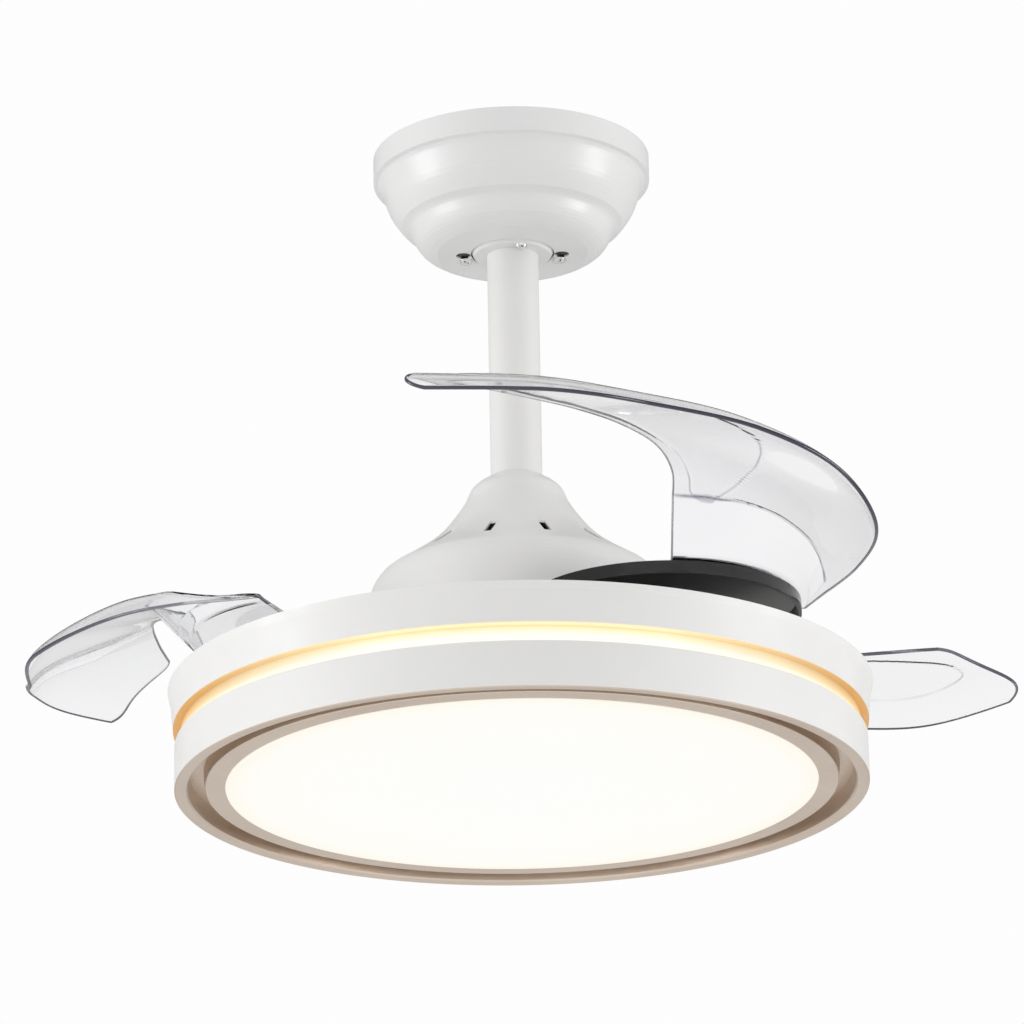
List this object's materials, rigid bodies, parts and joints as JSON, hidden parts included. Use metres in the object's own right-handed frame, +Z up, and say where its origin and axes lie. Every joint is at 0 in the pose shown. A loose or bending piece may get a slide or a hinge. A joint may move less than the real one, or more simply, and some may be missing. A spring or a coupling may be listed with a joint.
{
  "type": "retractable blade ceiling fan",
  "caption": "Ceiling fan on a downrod with a round light drum below and clear curved blades that swing out when it spins and fold in over the drum when it stops.",
  "frame": {"origin": "middle of the hanger bracket's ceiling face, on the fan's axis, midway between the two ceiling bolts", "axes": "+Z up into the ceiling along the fan's axis, +X along the bracket's long side and the viewer's right, -Y towards the viewer of the picture"},
  "size_m": [0.758, 0.8079, 0.491],
  "materials": {
    "white_metal": "satin powder coat",
    "white_gloss": "semi-gloss white",
    "canopy_white": "semi-gloss enamel",
    "champagne": "satin anodised champagne",
    "black_gloss": "glossy black",
    "chrome": "polished",
    "zinc_steel": "zinc plated",
    "cast_alu": "as cast and turned",
    "copper": "enamelled copper wire",
    "bronze": "sintered bronze",
    "magnet": "sintered ferrite",
    "spring_steel": "oiled spring wire",
    "diffuser": "glowing warm white opal",
    "glow": "glowing warm white",
    "nylon": "natural nylon",
    "board": "white solder mask",
    "led": "phosphor yellow",
    "clear_blade": "clear moulded plastic, polished"
  },
  "bodies": {
    "ceiling_mount": {"hanger_bracket": "zinc_steel", "remote_receiver": "white_gloss", "terminal_block": "white_gloss", "canopy": "canopy_white", "canopy_screws": "chrome"},
    "hanging_body": {"hanger_ball": "white_gloss", "hanger_pin": "zinc_steel", "ball_screw": "chrome", "downrod": "white_metal", "rod_coupling": "zinc_steel", "coupling_pin": "zinc_steel", "coupling_screws": "zinc_steel", "bell_cover": "white_metal", "motor_shaft": "zinc_steel", "stator_core": "zinc_steel", "stator_coils": "copper", "bearing_upper": "zinc_steel", "bearing_lower": "zinc_steel", "carrier_plate": "zinc_steel", "lamp_nuts": "zinc_steel", "upper_pan": "white_metal", "carrier_screws": "zinc_steel", "led_driver": "white_gloss", "glow_ring": "glow", "glow_led_strip": "led", "lower_band": "white_metal", "band_screws": "zinc_steel", "led_board": "board", "led_chips": "led", "trim_ring": "champagne", "diffuser": "diffuser"},
    "rotor": {"rotor_upper_shell": "cast_alu", "rotor_lower_shell": "cast_alu", "rotor_magnets": "magnet", "rotor_screws": "zinc_steel", "blade_tray": "black_gloss", "tray_screws": "zinc_steel", "thrust_washers": "nylon", "pivot_posts": "zinc_steel", "pivot_caps": "zinc_steel", "pivot_screws": "chrome", "stop_pins": "zinc_steel", "return_springs": "spring_steel"},
    "blade_1": {"blade_1": "clear_blade", "blade_bush_1": "bronze"},
    "blade_2": {"blade_2": "clear_blade", "blade_bush_2": "bronze"},
    "blade_3": {"blade_3": "clear_blade", "blade_bush_3": "bronze"}
  },
  "joints": [
    {"name": "hanger_tilt", "type": "hinge", "parent": "ceiling_mount", "child": "hanging_body", "pos_m": [0, 0, -0.0583], "axis": [1, 0, 0], "range_deg": [-8, 8]},
    {"name": "rotor_spin", "type": "hinge", "parent": "hanging_body", "child": "rotor", "pos_m": [0, 0, -0.36], "axis": [0, 0, 1], "continuous": true},
    {"name": "blade_1_swing", "type": "hinge", "parent": "rotor", "child": "blade_1", "pos_m": [0.10072, -0.1043, -0.3786], "axis": [0, 0, 1], "range_deg": [-85, 20]},
    {"name": "blade_2_swing", "type": "hinge", "parent": "rotor", "child": "blade_2", "pos_m": [-0.14069, -0.03508, -0.3786], "axis": [0, 0, 1], "range_deg": [-80, 25]},
    {"name": "blade_3_swing", "type": "hinge", "parent": "rotor", "child": "blade_3", "pos_m": [0.03997, 0.13938, -0.3786], "axis": [0, 0, 1], "range_deg": [-104, 1]}
  ]
}
